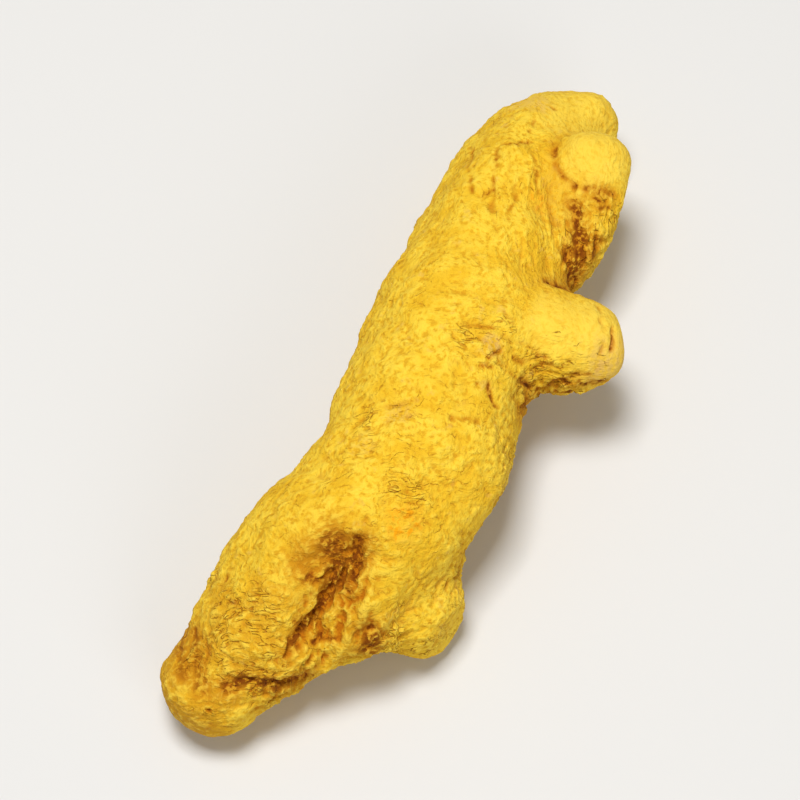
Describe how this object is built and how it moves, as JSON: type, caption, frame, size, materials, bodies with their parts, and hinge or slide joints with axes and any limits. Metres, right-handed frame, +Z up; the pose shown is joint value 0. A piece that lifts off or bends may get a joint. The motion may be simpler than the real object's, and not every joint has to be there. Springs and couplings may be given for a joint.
{
  "type": "turmeric rhizome",
  "caption": "Dried turmeric root: a stout ringed finger with a blunt crown, a thumb-like side branch, a club-shaped bud branch and a forked base, lying on three small flats.",
  "frame": {"origin": "on the resting plane, under the middle of the root's bounding box", "axes": "+X along the main finger from the forked base to the crown, +Z up from the surface that the root lies on; the thumb and the club branch are on the -Y side"},
  "size_m": [0.0672, 0.0236, 0.017],
  "materials": {
    "turmeric_skin": "matt, dusty, finely wrinkled yellow-ochre skin with paler smooth tips"
  },
  "bodies": {
    "root": {"rhizome": "turmeric_skin"}
  },
  "joints": []
}
